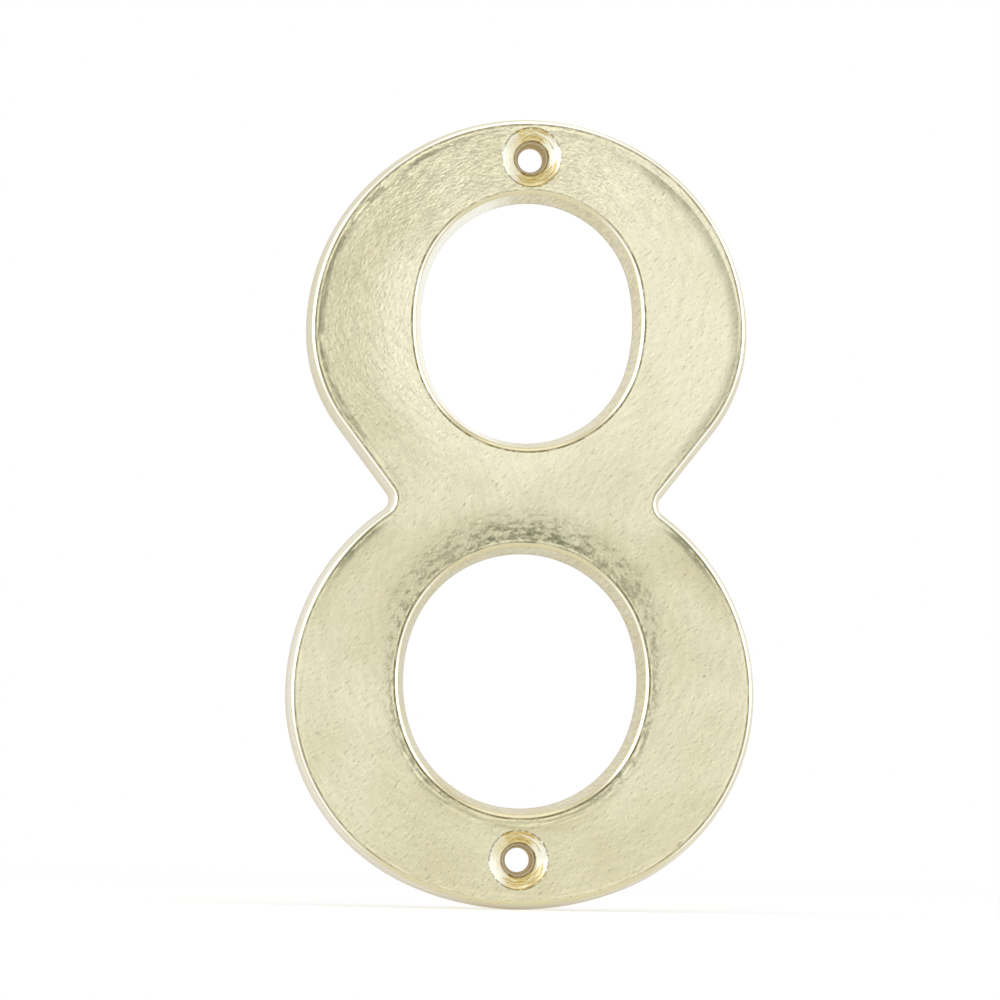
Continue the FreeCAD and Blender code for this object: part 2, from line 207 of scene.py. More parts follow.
# Where each strip of surface belongs, and so which finish it gets.
FACE, ARRIS, WALL, SINK, THROAT, BACK_RIM, HOLLOW = range(7)

# The mesh's values for the distances from the outer edge of the face and from the two counters' edges.
GAPS = ("outer_gap", "upper_gap", "lower_gap")

# How far apart the points of the mesh lie: along the edges, in the hollow, on the face and on the back.
EDGE_STEP, HOLLOW_STEP, FACE_STEP, BACK_STEP = 0.45 * MM, 0.7 * MM, 0.8 * MM, 1.5 * MM

# The most that an outline may turn between two of its points.
FINEST_TURN = math.radians(6)

# How many points at a time are measured against an outline, and the square of a length next to none.
BATCH = 2000
TINY_SQUARE = 1e-18

# How strong each kind of mark on the face is: everywhere, and how much more at its left and at its top.
MARKS = {"grain": (0.1, 0.5, 0.85), "ripple": (0.22, 0.12, 0.25), "dents": (0.9, 0, 0.6),
         "strokes": (0.3, 1.2, 0.7)}

# The shade of a mark at its deepest.
DEEPEST_SHADE = -0.26

# The clear coat on what was polished, and its roughness.
THIN_COAT, COAT_ROUGHNESS = 0.1, 0.12

# Which sockets of a Mix node hold its two colours, and which output gives the mixed one.
MIXED_COLOURS, MIXED_RESULT = (6, 7), 2

# Which sockets of a Compare node hold its two whole numbers.
COMPARED_WHOLE = (2, 3)

# Each lamp's name, place, width and strength. It is taller than it is wide.
LAMPS = (("left", (-1.0, -0.45, 0.25), 0.9, 1.0),
         ("right", (1.05, -0.35, 0.3), 0.8, 0.9),
         ("top", (0.1, -0.3, 1.1), 0.9, 0.4))
LAMP_TALLER = 1.3

# The nearest and the farthest that the camera sees, and how far out the floor's edge is.
NEAREST, FARTHEST = 0.05, 50
FLOOR_REACH = 1


class Arc:
    """Part of a circle between two directions. side is 1 where the metal lies inside it, else -1."""

    def __init__(self, centre, radius, start, end, side=1):
        self.centre, self.radius, self.start, self.end, self.side = centre, radius, start, end, side

    def samples(self, step):
        """Evenly spaced places on the arc, less the last, with the directions out of the metal."""
        turn = self.end - self.start
        count = max(math.ceil(abs(turn) * self.radius / step), math.ceil(abs(turn) / FINEST_TURN))
        angles = self.start + turn * np.arange(count) / count
        out = np.stack([np.cos(angles), np.sin(angles)], axis=1)
        return np.array(self.centre) + self.radius * out, self.side * out

    def inset(self, inward):
        """The same arc, moved into the metal."""
        return Arc(self.centre, self.radius - self.side * inward, self.start, self.end, self.side)

    def mirrored(self):
        """The arc on the other side of the upright axis, run the other way."""
        middle = (-self.centre[0], self.centre[1])
        return Arc(middle, self.radius, math.pi - self.end, math.pi - self.start, self.side)

    def flipped(self):
        """The same arc with the metal on its other side."""
        return Arc(self.centre, self.radius, self.start, self.end, -self.side)

    def between(self, start=None, end=None):
        """The same arc, cut short."""
        return Arc(self.centre, self.radius, self.start if start is None else start,
                   self.end if end is None else end, self.side)


class Line:
    """A straight stretch. side is 1 where the metal lies on its left, else -1."""

    def __init__(self, start, end, side=1):
        self.start, self.end, self.side = np.array(start), np.array(end), side
        along = self.end - self.start
        self.out = side * np.array([along[1], -along[0]]) / np.hypot(*along)

    def samples(self, step):
        """Evenly spaced places on the line, less the last, with the directions out of the metal."""
        along = self.end - self.start
        count = math.ceil(np.hypot(*along) / step)
        places = self.start + np.outer(np.arange(count) / count, along)
        return places, np.tile(self.out, (count, 1))

    def inset(self, inward):
        """The same line, moved into the metal."""
        return Line(self.start - inward * self.out, self.end - inward * self.out, self.side)

    def mirrored(self):
        """The line on the other side of the upright axis, run the other way."""
        return Line(self.end * (-1, 1), self.start * (-1, 1), self.side)

    def flipped(self):
        """The same line with the metal on its other side."""
        return Line(self.start, self.end, -self.side)


class Outline:
    """A closed run of arcs and lines, sampled once. Any offset of it has as many points."""

    def __init__(self, pieces, step):
        runs = [piece.samples(step) for piece in pieces]
        self.places = np.concatenate([places for places, _ in runs])
        self.out = np.concatenate([out for _, out in runs])

    def at(self, offset):
        """The outline, moved out of the metal by an offset."""
        return self.places + offset * self.out


def symmetric(right):
    """A closed run from its right half, which starts and ends on the upright axis."""
    return right + [piece.mirrored() for piece in reversed(right)]


def polar(angle):
    """The unit vector in a direction."""
    return np.array([math.cos(angle), math.sin(angle)])


def direction(start, end):
    """The direction from one place to another."""
    return math.atan2(end[1] - start[1], end[0] - start[0])


def crossing(upper, upper_radius, lower, lower_radius):
    """Where two circles cross, right of the way down from the upper one's centre to the lower one's."""
    upper, lower = np.array(upper), np.array(lower)
    apart = np.hypot(*(lower - upper))
    unit = (lower - upper) / apart
    along = (apart ** 2 + upper_radius ** 2 - lower_radius ** 2) / (2 * apart)
    across = math.sqrt(upper_radius ** 2 - along ** 2)
    return upper + along * unit + across * np.array([-unit[1], unit[0]])


def corner(centre, radius, start, end):
    """The rounding of a corner of the hollow, which turns left from one direction to the next."""
    return Arc(centre, radius, start, end + (math.tau if end < start else 0), side=-1)


class Figure:
    """The outlines that follow from the driving sizes, each as a run of arcs and lines."""

    def __init__(self, sizes):
        self.sizes = sizes
        self.hole = sizes.hole_spacing / 2
        self.top_band = 2 * (sizes.sink_radius + sizes.top_rim)
        self.upper_middle = self.hole - self.top_band / 2 - sizes.upper_round - sizes.upper_stretch
        self.lower_middle = -self.hole + sizes.foot_band / 2 + sizes.lower_round + sizes.lower_stretch
        self.spread = sizes.thickness * math.tan(sizes.outer_draft)
        self.shrink = sizes.thickness * math.tan(sizes.counter_draft)

    @staticmethod
    def flatter(radius, rise, spread):
        """The radius of the flatter arc that stands above two circles and runs smoothly into both."""
        return radius + rise / 2 + spread ** 2 / (2 * rise)

    def outside(self):
        """The right half of the outside, from the foot up to the crown."""
        sizes = self.sizes
        lean, waist_round = sizes.flank_lean, sizes.waist_round
        flank_round, hip_round = sizes.flank_round, sizes.hip_round
        upper_half = sizes.upper_round + sizes.upper_bulge + sizes.upper_side_band
        lower_half = sizes.lower_round + sizes.lower_bulge + sizes.lower_side_band
        shoulder_round = upper_half - sizes.shoulder_spread
        heel_round = lower_half - sizes.heel_spread
        crown_round = self.flatter(shoulder_round, sizes.crown_rise, sizes.shoulder_spread)
        foot_round = self.flatter(heel_round, sizes.foot_rise, sizes.heel_spread)
        top = self.hole + self.top_band / 2
        bottom = -self.hole - sizes.foot_band / 2
        shoulder = (sizes.shoulder_spread, top - sizes.crown_rise - shoulder_round)
        heel = (sizes.heel_spread, bottom + sizes.foot_rise + heel_round)
        flank = (upper_half - flank_round, shoulder[1])
        hip = (lower_half - hip_round, heel[1])
        crown, foot = (0, top - crown_round), (0, bottom + foot_round)

        ledge = np.array(flank) + (flank_round + waist_round) * polar(-lean)
        down = polar(-math.pi / 2 - lean)
        gap = ledge - hip
        half = gap @ down
        reach = math.sqrt(half ** 2 - gap @ gap + (hip_round + waist_round) ** 2)
        waist = ledge - (half + reach) * down
        hip_turn = direction(hip, waist)
        crown_turn = direction(crown, shoulder)
        heel_turn = direction(foot, heel)
        return [
            Arc(foot, foot_round, -math.pi / 2, heel_turn),
            Arc(heel, heel_round, heel_turn, 0),
            Arc(hip, hip_round, 0, hip_turn),
            Arc(waist, waist_round, math.pi + hip_turn, math.pi - lean, side=-1),
            Line(waist + waist_round * polar(math.pi - lean), flank + flank_round * polar(-lean)),
            Arc(flank, flank_round, -lean, 0),
            Arc(shoulder, shoulder_round, 0, crown_turn),
            Arc(crown, crown_round, crown_turn, math.pi / 2),
        ]

    def counter(self, middle, cap_round, stretch, bulge):
        """The right half of a counter, from its top down to its bottom."""
        side_round = self.flatter(cap_round, bulge, stretch)
        side = (cap_round + bulge - side_round, middle)
        top, bottom = (0, middle + stretch), (0, middle - stretch)
        turn = direction(side, top)
        return [
            Arc(top, cap_round, math.pi / 2, turn, side=-1),
            Arc(side, side_round, turn, -turn, side=-1),
            Arc(bottom, cap_round, -turn, -math.pi / 2, side=-1),
        ]

    def upper_counter(self):
        """The right half of the upper counter."""
        sizes = self.sizes
        return self.counter(self.upper_middle, sizes.upper_round, sizes.upper_stretch, sizes.upper_bulge)

    def lower_counter(self):
        """The right half of the lower counter."""
        sizes = self.sizes
        return self.counter(self.lower_middle, sizes.lower_round, sizes.lower_stretch, sizes.lower_bulge)

    def hollow(self):
        """The right half of the hollow's mouth, from the lower counter's top to the upper one's bottom."""
        sizes = self.sizes
        outside = [piece.inset(sizes.rim_wall - self.spread).flipped() for piece in self.outside()]
        wall = sizes.rim_wall - self.shrink
        upper = [piece.inset(wall).flipped() for piece in self.upper_counter()]
        lower = [piece.inset(wall).flipped() for piece in self.lower_counter()]
        radius = sizes.recess_corner

        hole, boss = (0, self.hole), self.top_band / 2 - sizes.boss_inset
        crown, cap = outside[-1], upper[0]
        above = crossing(hole, boss + radius, crown.centre, crown.radius - radius)
        below = crossing(hole, boss + radius, cap.centre, cap.radius + radius)
        top = [
            crown.between(end=direction(crown.centre, above)),
            corner(above, radius, direction(crown.centre, above), direction(above, hole)),
            Arc(hole, boss, direction(hole, above), direction(hole, below)),
            corner(below, radius, direction(below, hole), direction(below, cap.centre)),
            cap.between(start=direction(cap.centre, below)),
        ]

        hole, boss = (0, -self.hole), sizes.foot_band / 2 - sizes.boss_inset
        cap, foot = lower[-1], outside[0]
        above = crossing(cap.centre, cap.radius + radius, hole, boss + radius)
        below = crossing(foot.centre, foot.radius - radius, hole, boss + radius)
        bottom = [
            cap.between(end=direction(cap.centre, above)),
            corner(above, radius, direction(above, cap.centre), direction(above, hole)),
            Arc(hole, boss, direction(hole, above), direction(hole, below)),
            corner(below, radius, direction(below, hole), direction(foot.centre, below)),
            foot.between(start=direction(foot.centre, below)),
        ]
        return lower[:-1] + bottom + outside[1:-1] + top + upper[1:]


def crossings(points, loop):
    """For each point, whether a level ray from it crosses a closed loop an odd number of times."""
    start, end = loop, np.roll(loop, -1, axis=0)
    odd = np.zeros(len(points), bool)
    for (x0, z0), (x1, z1) in zip(start, end):
        if z0 == z1:
            continue
        spans = (points[:, 1] >= min(z0, z1)) & (points[:, 1] < max(z0, z1))
        reach = x0 + (points[spans, 1] - z0) * (x1 - x0) / (z1 - z0)
        odd[spans] ^= points[spans, 0] < reach
    return odd


def inside(points, loops):
    """For each point, whether it lies in the region that the loops bound."""
    odd = np.zeros(len(points), bool)
    for loop in loops:
        odd ^= crossings(points, loop)
    return odd


def distance_to(points, loop):
    """How far each point is from a closed loop."""
    start, end = loop, np.roll(loop, -1, axis=0)
    along = end - start
    squares = np.maximum((along ** 2).sum(axis=1), TINY_SQUARE)
    nearest = np.empty(len(points))
    for first in range(0, len(points), BATCH):
        some = points[first:first + BATCH, None, :]
        share = np.clip(((some - start) * along).sum(axis=2) / squares, 0, 1)
        foot = start + share[:, :, None] * along
        nearest[first:first + BATCH] = np.sqrt(((some - foot) ** 2).sum(axis=2)).min(axis=1)
    return nearest


class Shell:
    """A closed surface, gathered from rings, the strips between them and the flat fields they bound."""

    def __init__(self):
        self.places, self.out, self.faces, self.zones = [], [], [], []
        self.count = 0

    def add(self, flat, depth, out):
        """New points at one depth, with the directions that their outline faces. Gives their numbers."""
        self.places.append(np.column_stack([flat[:, 0], np.full(len(flat), depth), flat[:, 1]]))
        self.out.append(out)
        self.count += len(flat)
        return np.arange(self.count - len(flat), self.count)

    def section(self, outline, profile, zones):
        """Rings round an outline, one for each (offset, depth) of a profile, with strips between them."""
        rings = [self.add(outline.at(offset), depth, outline.out) for offset, depth in profile]
        for ring, following, zone in zip(rings, rings[1:], zones):
            corners = [ring, np.roll(ring, -1), np.roll(following, -1), following]
            self.faces += np.stack(corners, axis=1).tolist()
            self.zones += [zone] * len(ring)
        return rings

    def field(self, rings, spacing, zone):
        """A flat field of triangles that some rings bound, about as fine as the spacing."""
        points = np.concatenate(self.places)
        depth = points[rings[0][0]][1]
        loops = [points[ring][:, [0, 2]] for ring in rings]
        edge = np.concatenate(loops)
        low, high = edge.min(axis=0), edge.max(axis=0)
        rows = []
        for number, height in enumerate(np.arange(low[1], high[1], spacing * math.sqrt(3) / 2)):
            across = np.arange(low[0] + number % 2 * spacing / 2, high[0], spacing)
            rows.append(np.column_stack([across, np.full(len(across), height)]))
        grid = np.concatenate(rows)
        grid = grid[inside(grid, loops)]
        near = np.min([distance_to(grid, loop) for loop in loops], axis=0)
        grid = grid[near > spacing / 2]
        numbers = np.concatenate([*rings, self.add(grid, depth, np.zeros_like(grid))])
        flat = np.concatenate([edge, grid])
        borders, first = [], 0
        for loop in loops:
            borders += [(first + step, first + (step + 1) % len(loop)) for step in range(len(loop))]
            first += len(loop)
        places = [Vector(place) for place in flat / MM]
        _, _, triangles, origins, _, _ = delaunay_2d_cdt(places, borders, [], 0, 1e-6)
        triangles = np.array([[origins[vertex][0] for vertex in triangle] for triangle in triangles])
        kept = triangles[inside(flat[triangles].mean(axis=1), loops)]
        self.faces += numbers[kept].tolist()
        self.zones += [zone] * len(kept)

    def mesh(self, name):
        """The surface as a mesh, with its normals outwards and its zones as an attribute of its faces."""
        mesh = bpy.data.meshes.new(name)
        mesh.from_pydata(np.concatenate(self.places).tolist(), [], self.faces)
        mesh.attributes.new("zone", "INT", "FACE").data.foreach_set("value", self.zones)
        work = bmesh.new()
        work.from_mesh(mesh)
        bmesh.ops.recalc_face_normals(work, faces=work.faces)
        work.to_mesh(mesh)
        work.free()
        mesh.polygons.foreach_set("use_smooth", [True] * len(mesh.polygons))
        return mesh


def rounded(reach, count=6):
    """(across, down) of a quarter round of a radius, from level to upright."""
    turns = np.linspace(0, math.pi / 2, count)
    return [(reach * math.sin(turn), reach * (1 - math.cos(turn))) for turn in turns]


def bevelled(reach):
    """(across, down) of a bevel of a reach, eased where it meets the flats beside it."""
    shares = ((-0.12, 0), (0.01, 0.03), (0.12, 0.12), (0.5, 0.5), (0.88, 0.88), (0.97, 0.99), (1, 1.12))
    return [(reach * across, reach * down) for across, down in shares]


def edge_profile(sizes, draft):
    """(offset, depth) of an edge: a little of the face, the arris, the drafted wall and the back edge."""
    slope, thick, arris, soft = math.tan(draft), sizes.thickness, sizes.arris, sizes.soft_edge
    profile = [(-arris - margin, -thick) for margin in (soft, soft / 2)]
    zones = [FACE] * len(profile)
    for across, down in bevelled(arris):
        profile.append((across - arris + slope * down, down - thick))
    zones += [ARRIS] * (len(profile) - len(zones) - 1)
    for depth in np.linspace(1.5 * arris, thick - soft, 6):
        profile.append((slope * depth, depth - thick))
        zones.append(WALL)
    for across, down in reversed(rounded(soft, 4)[:-1]):
        profile.append((slope * (thick - soft) + across - soft, -down))
        zones.append(WALL)
    return profile, zones


def hole_profile(sizes):
    """(offset, depth) of a screw hole, from the face to the back. The offset is into the hole."""
    thick, soft = sizes.thickness, sizes.soft_edge
    sink, throat, bore = sizes.sink_radius, sizes.throat_radius, sizes.bore_radius
    sink_depth = sink - throat
    profile = [(-soft, -thick), (-soft / 3, soft / 8 - thick)]
    zones = [FACE, SINK]
    for share in np.linspace(soft / sink_depth / 2, 1 - soft / sink_depth / 2, 9):
        profile.append((share * sink_depth, share * sink_depth - thick))
        zones.append(SINK)
    for share in (0.04, 0.35, 0.7, 1):
        depth = sink_depth + share * (thick - sizes.bore_length - sink_depth)
        profile.append((sink_depth + share * (throat - bore), depth - thick))
        zones.append(THROAT)
    profile += [(sink - bore, -soft), (sink - bore - soft, 0)]
    zones += [THROAT]
    return profile, zones


def hollow_profile(sizes):
    """(offset, depth) of the hollow, from the back plane in to its floor. The offset is into the hollow."""
    slope, soft, root = math.tan(sizes.recess_draft), sizes.soft_edge, sizes.recess_root
    floor = sizes.thickness - sizes.face_wall
    profile = [(-soft, 0), (-soft / 4, -soft / 3)]
    profile += [(slope * depth, -depth) for depth in np.linspace(soft, floor - root, 7)]
    for across, down in reversed(rounded(root, 6)[:-1]):
        profile.append((slope * floor + root - across, down - floor))
    return profile, [HOLLOW] * (len(profile) - 1)


def casting_mesh(sizes):
    """The whole casting as one closed mesh, with each point's distance from the edges of the face."""
    figure = Figure(sizes)
    shell = Shell()
    outside, upper, lower = (Outline(symmetric(half), EDGE_STEP) for half in
                             (figure.outside(), figure.upper_counter(), figure.lower_counter()))
    hollow = Outline(symmetric(figure.hollow()), HOLLOW_STEP)
    holes = [Outline([Arc((0, height), sizes.sink_radius, 0, math.tau, side=-1)], EDGE_STEP / 2)
             for height in (figure.hole, -figure.hole)]
    rings = [shell.section(outside, *edge_profile(sizes, sizes.outer_draft))]
    for counter in (upper, lower):
        rings.append(shell.section(counter, *edge_profile(sizes, sizes.counter_draft)))
    rings += [shell.section(hole, *hole_profile(sizes)) for hole in holes]
    pit = shell.section(hollow, *hollow_profile(sizes))
    shell.field([ring[0] for ring in rings], FACE_STEP, FACE)
    shell.field([ring[-1] for ring in rings] + [pit[0]], BACK_STEP, BACK_RIM)
    before = shell.count
    shell.field([pit[-1]], HOLLOW_STEP, HOLLOW)
    mesh = shell.mesh(NODE)
    cast = np.zeros(shell.count)
    cast[before:] = 1
    cast[np.concatenate(pit[2:])] = 1
    mesh.attributes.new("cast", "FLOAT", "POINT").data.foreach_set("value", cast)

    places = np.concatenate(shell.places)[:, [0, 2]]
    for name, outline in zip(GAPS, (outside, upper, lower)):
        gap = distance_to(places, outline.places)
        mesh.attributes.new(name, "FLOAT", "POINT").data.foreach_set("value", gap)
    for name, part in zip(("out_x", "out_z"), np.concatenate(shell.out).T):
        mesh.attributes.new(name, "FLOAT", "POINT").data.foreach_set("value", part)
    return mesh


class Wire:
    """One value in a node tree, on which Python's own signs work."""

    def __init__(self, nodes, socket):
        self.nodes, self.socket = nodes, socket

    def __add__(self, other):
        return self.nodes.maths("ADD", self, other)

    def __sub__(self, other):
        return self.nodes.maths("SUBTRACT", self, other)

    def __rsub__(self, other):
        return self.nodes.maths("SUBTRACT", other, self)

    def __mul__(self, other):
        return self.nodes.maths("MULTIPLY", self, other)

    def __truediv__(self, other):
        return self.nodes.maths("DIVIDE", self, other)

    def __rtruediv__(self, other):
        return self.nodes.maths("DIVIDE", other, self)

    __radd__, __rmul__ = __add__, __mul__


class Nodes:
    """A node tree, written as expressions."""

    def __init__(self, tree):
        self.tree = tree

    def node(self, kind, settings=None, inputs=None, output=0):
        """One node of any kind: its settings first, then its sockets. Gives one of its outputs."""
        made = self.tree.nodes.new(kind)
        for name, value in (settings or {}).items():
            setattr(made, name, value)
        for name, value in (inputs or {}).items():
            if isinstance(value, Wire):
                self.tree.links.new(value.socket, made.inputs[name])
            else:
                made.inputs[name].default_value = value
        return Wire(self, made.outputs[output]) if made.outputs else None

    def maths(self, operation, *values):
        """A Math node."""
        return self.node("ShaderNodeMath", {"operation": operation}, dict(enumerate(values)))

    def most(self, first, *others):
        """The greatest of some values."""
        for other in others:
            first = self.maths("MAXIMUM", first, other)
        return first

    def least(self, first, *others):
        """The smallest of some values."""
        for other in others:
            first = self.maths("MINIMUM", first, other)
        return first

    def between(self, share, first, second):
        """A value that lies some share of the way from one to another."""
        return first + (second - first) * share

    def smooth(self, value, low, high, start=0, end=1):
        """A smooth step of a value, from one level to another."""
        ends = {"Value": value, "From Min": low, "From Max": high, "To Min": start, "To Max": end}
        return self.node("ShaderNodeMapRange", {"interpolation_type": "SMOOTHSTEP"}, ends)

    def noise(self, place, scale, detail=2, roughness=0.5):
        """Noise from 0 to 1 whose grains are about one part in scale of a unit."""
        return self.node("ShaderNodeTexNoise", {}, {"Vector": place, "Scale": scale, "Detail": detail,
                                                    "Roughness": roughness})


class Finish(Nodes):
    """One material of the brass. Its lengths are in millimetres."""

    def __init__(self, name):
        self.material = bpy.data.materials.new(name)
        self.material.use_nodes = True
        super().__init__(self.material.node_tree)
        self.tree.nodes.clear()
        metres = self.node("ShaderNodeTexCoord", output="Object")
        self.place = self.node("ShaderNodeVectorMath", {"operation": "SCALE"}, {0: metres, "Scale": 1 / MM})
        self.x, self.y, self.z = (self.node("ShaderNodeSeparateXYZ", {}, {0: self.place}, axis)
                                  for axis in range(3))

    def at(self, x, y, z):
        """A place from its three parts."""
        return self.node("ShaderNodeCombineXYZ", {}, {0: x, 1: y, 2: z})

    def carried(self, name, scale=1):
        """One of the values that the mesh carries."""
        return self.node("ShaderNodeAttribute", {"attribute_name": name}, output="Fac") * scale

    def gaps(self):
        """The distances from the three edges of the face: outer, upper counter and lower counter."""
        return [self.carried(name, 1 / MM) for name in GAPS]

    def around(self, height):
        """The distance and the direction from an axis that runs into the door. height is above it."""
        radius = self.maths("SQRT", self.x * self.x + height * height)
        return radius, self.x / radius, height / radius

    def around_hole(self, figure):
        """The same round the nearer screw hole."""
        return self.around(self.z - self.maths("SIGN", self.z) * (figure.hole / MM))

    def scaled(self, tint, factor):
        """A colour, made lighter or darker."""
        return self.node("ShaderNodeVectorMath", {"operation": "SCALE"}, {0: tint, "Scale": factor})

    def relief(self, first, second, third, shift=0.4, detail=2):
        """Light and shade, about -0.3 to 0.3, of a noise that is lit along its first place."""
        lit, shaded = (self.noise(self.at(side, second, third), 1, detail, 0.6)
                       for side in (first + shift, first - shift))
        return lit - shaded

    def mix(self, share, first, second):
        """Two colours, mixed."""
        sides = {0: share}
        for socket, side in zip(MIXED_COLOURS, (first, second)):
            sides[socket] = side if isinstance(side, Wire) else (*side, 1)
        return self.node("ShaderNodeMix", {"data_type": "RGBA"}, sides, output=MIXED_RESULT)

    def bump(self, height):
        """The normal over a height in millimetres."""
        return self.node("ShaderNodeBump", {}, {"Height": height, "Distance": MM})

    def brass(self, base, roughness, normal=None, coat=0.0):
        """The shader itself, at the end of the material."""
        inputs = {"Base Color": base, "Metallic": 1.0, "Roughness": roughness,
                  "Coat Weight": coat, "Coat Roughness": COAT_ROUGHNESS}
        if normal:
            inputs["Normal"] = normal
        shader = self.node("ShaderNodeBsdfPrincipled", {}, inputs)
        self.node("ShaderNodeOutputMaterial", {}, {"Surface": shader})
        return self.material


class PolishedFace(Finish):
    """The face: mopped bright, marked along its outline, with dark bands and fine lines of painted
    reflection by its edges.

    Its masks are smooth steps between two gaps from an edge or between two places across or up the figure,
    in millimetres. aside and above are the parts of the direction out of the lower counter's middle.
    """

    def __init__(self, colours, figure):
        super().__init__("polished_face")
        self.colours = colours
        self.outer, self.upper, self.lower = self.gaps()
        self.left = self.smooth(self.x, 2, -26) * self.smooth(self.z, -4, 24)
        self.right = self.smooth(self.x, 0, 24) * self.smooth(self.z, -8, 18)
        self.top = self.smooth(self.z, 40, 53) * self.smooth(self.x, 26, -6, 0.35, 1)
        _, self.aside, self.above = self.around(self.z - figure.lower_middle / MM)
        self.breaks = self.noise(self.place, 0.6, 3, 0.7)

    def tone(self):
        """Broad tones, random and painted reflection: bright right of the upper bowl and by its counter,
        deeper elsewhere.
        """
        smooth, z = self.smooth, self.z
        share = (self.noise(self.place, 0.09, 3) - 0.5) * 1.1 + 0.38
        share = share + self.left * (smooth(self.outer, 15, 5) * 0.75 - 0.3) - self.right * 0.36
        beside_upper = smooth(self.upper, 9, 2) * smooth(self.x, 14, 2) * smooth(z, 48, 34) * 0.4
        above_lower = smooth(self.lower, 12, 3) * smooth(z, -34, -14) * smooth(z, 3, -5) * 0.5
        below_lower = smooth(self.lower, 5, 1) * smooth(self.above, -0.5, -0.9) * 0.4
        hips = smooth(self.outer, 7, 1) * smooth(z, -1, -6) * smooth(z, -24, -12) * 0.5
        foot = smooth(z, -40, -56) * 0.35
        share = share - beside_upper + above_lower + below_lower + hips + foot
        return self.mix(share, self.colours.polish, self.colours.deep)

    def marks(self):
        """Light and shade of what the mop and handling left: grain along the outline, ripples and dents."""
        outer, x, z = self.outer, self.x, self.z
        grain = self.relief(outer * 3, x * 1.2, z * 1.2)
        grain = grain * self.maths("ABSOLUTE", grain) * 5 + grain * 0.25
        ripple = self.relief(outer * 0.8 + z * 0.3, x * 0.45, z * 0.35, 0.35, 3)
        dents = self.relief((z - x) * 1.7, (x + z) * 0.7, outer * 0.2, 0.38, 3)
        dents = dents * dents * dents * 18
        dents = dents - self.most(dents, 0) * 0.6
        strokes = self.relief(outer * 1.9, x * 0.14, z * 0.14) * self.smooth(outer, 3.4, 0.8)
        under = self.relief(self.lower * 1.9, self.aside * 3, self.above * 3)
        light = under * self.smooth(self.lower, 2.9, 1.2) * self.smooth(self.above, -0.15, -0.5) * 1.5
        marks = {"grain": grain, "ripple": ripple, "dents": dents, "strokes": strokes}
        for name, (everywhere, at_left, at_top) in MARKS.items():
            light = light + marks[name] * (self.left * at_left + self.top * at_top + everywhere)
        return light

    def dark_reflection(self):
        """How much painted dark reflection the face has: round the lower counter, and along the outside."""
        smooth, outer, z = self.smooth, self.outer, self.z
        reach = smooth(self.above, 0.05, 0.8) * 3.1 + 1.9
        near = smooth(self.lower - 0.5, reach * 1.35, reach * 0.1)
        patch = self.noise(self.at(self.lower, self.aside * 11, self.above * 11), 1, 4, 0.68)
        amount = smooth(self.above, 0.85, 1) * 0.4 + smooth(self.above, -0.4, -0.7) * 0.14 + 0.64
        amount = amount * smooth(self.above, -0.95, -0.8)
        round_counter = near * (smooth(patch, 0.42, 0.58) * 0.85 + 0.22) * amount

        # Noise that breaks up the painted dark reflection along the outside.
        reflection_breakup = self.noise(self.place, 0.3, 2)
        inward = outer - smooth(z, 22, 52) - 0.62
        arc = smooth(inward, 0, 0.2) * smooth(inward, 2.3, 0.3) * smooth(self.x, 10, 20) * smooth(z, 2, 14)
        stripe = smooth(outer, 0.95, 1.1) * smooth(outer, 2.4, 1.5) * self.left * smooth(reflection_breakup, 0.36, 0.54)
        hips = smooth(outer, 2.2, 1.2) * smooth(z, -2, -4.5) * smooth(z, -15, -7) * smooth(patch, 0.3, 0.5)
        return round_counter, self.most(arc * (reflection_breakup * 0.5 + 0.3), stripe * 0.75, hips * 0.9)

    def rubbed(self, dark_reflection):
        """Light and shade of fine scratches and rubbing, where the painted dark reflection shows them up.
        """
        scored = self.noise(self.at(self.lower * 0.9, self.aside * 10, self.above * 10), 1, 3, 0.6)
        crossed = self.noise(self.at(self.x * 1.3, self.z * 0.6, self.lower), 1, 2, 0.5)
        scratches = (self.smooth(self.maths("ABSOLUTE", scored - 0.5), 0.03, 0.006)
                     + self.smooth(self.maths("ABSOLUTE", crossed - 0.5), 0.035, 0.008) * 0.7)
        rubbing = self.relief(self.lower * 1.6, self.aside * 26, self.above * 26, detail=3)
        return (scratches * 0.26 + rubbing * 1.1 - 0.07) * self.smooth(dark_reflection, 0.05, 0.4)

    def lined(self, base):
        """The base with painted reflection, a thin brown line along the arris and a light one inside it,
        and nicks and specks.
        """
        smooth = self.smooth
        brown, cream = 0, 0
        weights = (smooth(self.z, -62, -54) * 0.7, smooth(self.z, 40, 49, 1, 0.5),
                   smooth(self.above, 0.6, 0.9, 1, 0.2))
        for gap, weight in zip((self.outer, self.upper, self.lower), weights):
            brown = self.most(brown, smooth(gap, 0.9, 0.64) * weight)
            cream = self.most(cream, smooth(gap, 0.76, 0.88) * smooth(gap, 1.2, 0.98))
        brown = brown * smooth(self.breaks, 0.34, 0.6, 0.35, 1)
        cream = cream * smooth(self.breaks, 0.4, 0.6) * 0.6
        slanted = self.at((self.z - self.x) * 1.4, (self.x + self.z) * 0.6, self.outer * 0.2)
        nicks = self.noise(slanted, 1, 3, 0.6)
        specks = self.noise(self.place, 2.6, 3, 0.7)
        cuts = self.most(smooth(nicks, 0.64, 0.74), smooth(specks, 0.66, 0.76))
        base = self.mix(cream, base, self.colours.cream)
        return self.mix(self.most(brown, cuts * 0.4), base, self.colours.edge_line), brown + cuts

    def finished(self):
        """The whole material."""
        round_counter, along_outside = self.dark_reflection()
